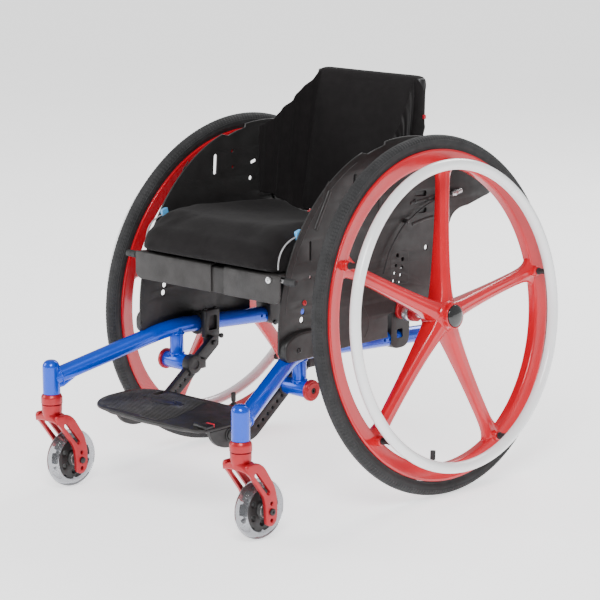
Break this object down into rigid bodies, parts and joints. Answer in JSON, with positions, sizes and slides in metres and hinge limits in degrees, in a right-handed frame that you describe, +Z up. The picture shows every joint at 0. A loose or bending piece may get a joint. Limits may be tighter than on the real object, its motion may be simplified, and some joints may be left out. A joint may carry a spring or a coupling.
{
  "type": "manual wheelchair",
  "caption": "Rigid cambered manual wheelchair: spoked wheels with handrims, swivel casters on forks, cushioned seat, folding back, side guards, footplate.",
  "frame": {"origin": "on the floor, under the middle of the box round the whole chair", "axes": "+Z up, -Y the way the chair faces, +X towards the sitter's left"},
  "size_m": [0.6544, 0.7782, 0.691],
  "materials": {
    "frame_blue": "gloss paint over welded round tube",
    "wheel_red": "moulded, glossy",
    "red_anodised": "satin red anodised",
    "handrim_silver_white": "smooth pale silver coating",
    "tyre_black": "fine-patterned tread and sidewall",
    "caster_clear": "clear smoky polyurethane",
    "gloss_black": "glossy dome",
    "plastic_black": "finely textured",
    "metal_black": "satin black powder coat",
    "metal_silver": "bright machined",
    "fabric_black": "woven cover, softly creased",
    "rubber_black": "matt"
  },
  "bodies": {
    "chassis": {"side_guard_left": "plastic_black", "side_guard_right": "plastic_black", "frame_side_left": "frame_blue", "frame_side_right": "frame_blue", "footrest_hanger_left": "metal_black", "footrest_hanger_right": "metal_black", "cushion": "fabric_black", "axle_clamp_left": "metal_black", "axle_clamp_right": "metal_black", "hanger_rail_clamp_left": "plastic_black", "hanger_rail_clamp_right": "plastic_black", "seat_pan_left": "plastic_black", "release_cable": "rubber_black", "axle_left": "metal_silver", "axle_right": "metal_silver", "back_bracket_left": "metal_black", "back_bracket_right": "metal_black", "stub_plug_left": "red_anodised", "stub_plug_right": "red_anodised", "cable_adjuster": "metal_silver", "hanger_stub_clamp_left": "plastic_black", "hanger_stub_clamp_right": "plastic_black", "caster_bearing_left": "red_anodised", "caster_bearing_right": "red_anodised", "camber_plug_left": "red_anodised", "camber_plug_right": "red_anodised", "seat_pan_right": "plastic_black", "camber_tube": "metal_black", "footplate_cross_tube": "metal_black", "lock_guide_left": "metal_black", "lock_guide_right": "metal_black"},
    "wheel_left": {"mag_wheel_left": "wheel_red", "handrim_left": "handrim_silver_white", "rear_tyre_left": "tyre_black", "hub_cap_left": "gloss_black"},
    "swivel_left": {"caster_fork_left": "red_anodised", "caster_bolt_left": "metal_black"},
    "caster_wheel_left": {"caster_hub_left": "plastic_black", "caster_tyre_left": "caster_clear"},
    "lock_left": {"lock_tip_left": "rubber_black", "lock_rod_left": "metal_black"},
    "wheel_right": {"mag_wheel_right": "wheel_red", "handrim_right": "handrim_silver_white", "rear_tyre_right": "tyre_black", "hub_cap_right": "gloss_black"},
    "swivel_right": {"caster_fork_right": "red_anodised", "caster_bolt_right": "metal_black"},
    "caster_wheel_right": {"caster_hub_right": "plastic_black", "caster_tyre_right": "caster_clear"},
    "lock_right": {"lock_tip_right": "rubber_black", "lock_rod_right": "metal_black"},
    "backrest": {"back_cover": "fabric_black", "back_post_left": "metal_black", "back_post_right": "metal_black", "back_crossbar": "metal_black", "back_wing_left": "fabric_black", "back_wing_right": "fabric_black"},
    "footplate_tilt": {"footplate": "plastic_black", "footplate_bracket_left": "plastic_black", "footplate_bracket_right": "plastic_black"}
  },
  "joints": [
    {"name": "wheel_spin_left", "type": "hinge", "parent": "chassis", "child": "wheel_left", "pos_m": [0.247, 0.08405, 0.3036], "axis": [0.9946, 0, 0.1038], "continuous": true},
    {"name": "caster_swivel_left", "type": "hinge", "parent": "chassis", "child": "swivel_left", "pos_m": [0.2274, -0.37055, 0.16], "axis": [0, 0, 1], "continuous": true},
    {"name": "caster_spin_left", "type": "hinge", "parent": "swivel_left", "child": "caster_wheel_left", "pos_m": [0.2274, -0.33055, 0.05], "axis": [1, 0, 0], "continuous": true},
    {"name": "wheel_lock_left", "type": "slide", "parent": "chassis", "child": "lock_left", "axis": [1, 0, 0], "range_m": [0, 0.045]},
    {"name": "wheel_spin_right", "type": "hinge", "parent": "chassis", "child": "wheel_right", "pos_m": [-0.247, 0.08405, 0.3036], "axis": [0.9946, 0, -0.1038], "continuous": true},
    {"name": "caster_swivel_right", "type": "hinge", "parent": "chassis", "child": "swivel_right", "pos_m": [-0.2274, -0.37055, 0.16], "axis": [0, 0, 1], "continuous": true},
    {"name": "caster_spin_right", "type": "hinge", "parent": "swivel_right", "child": "caster_wheel_right", "pos_m": [-0.2274, -0.33055, 0.05], "axis": [1, 0, 0], "continuous": true},
    {"name": "wheel_lock_right", "type": "slide", "parent": "chassis", "child": "lock_right", "axis": [-1, 0, 0], "range_m": [0, 0.045]},
    {"name": "backrest_fold", "type": "hinge", "parent": "chassis", "child": "backrest", "pos_m": [0, 0.17205, 0.452], "axis": [1, 0, 0], "range_deg": [0, 45], "deforming": ["back_wing_left", "back_wing_right"]},
    {"name": "footplate_tilt", "type": "hinge", "parent": "chassis", "child": "footplate_tilt", "pos_m": [0, -0.29395, 0.147], "axis": [1, 0, 0], "range_deg": [-8, 12]}
  ]
}
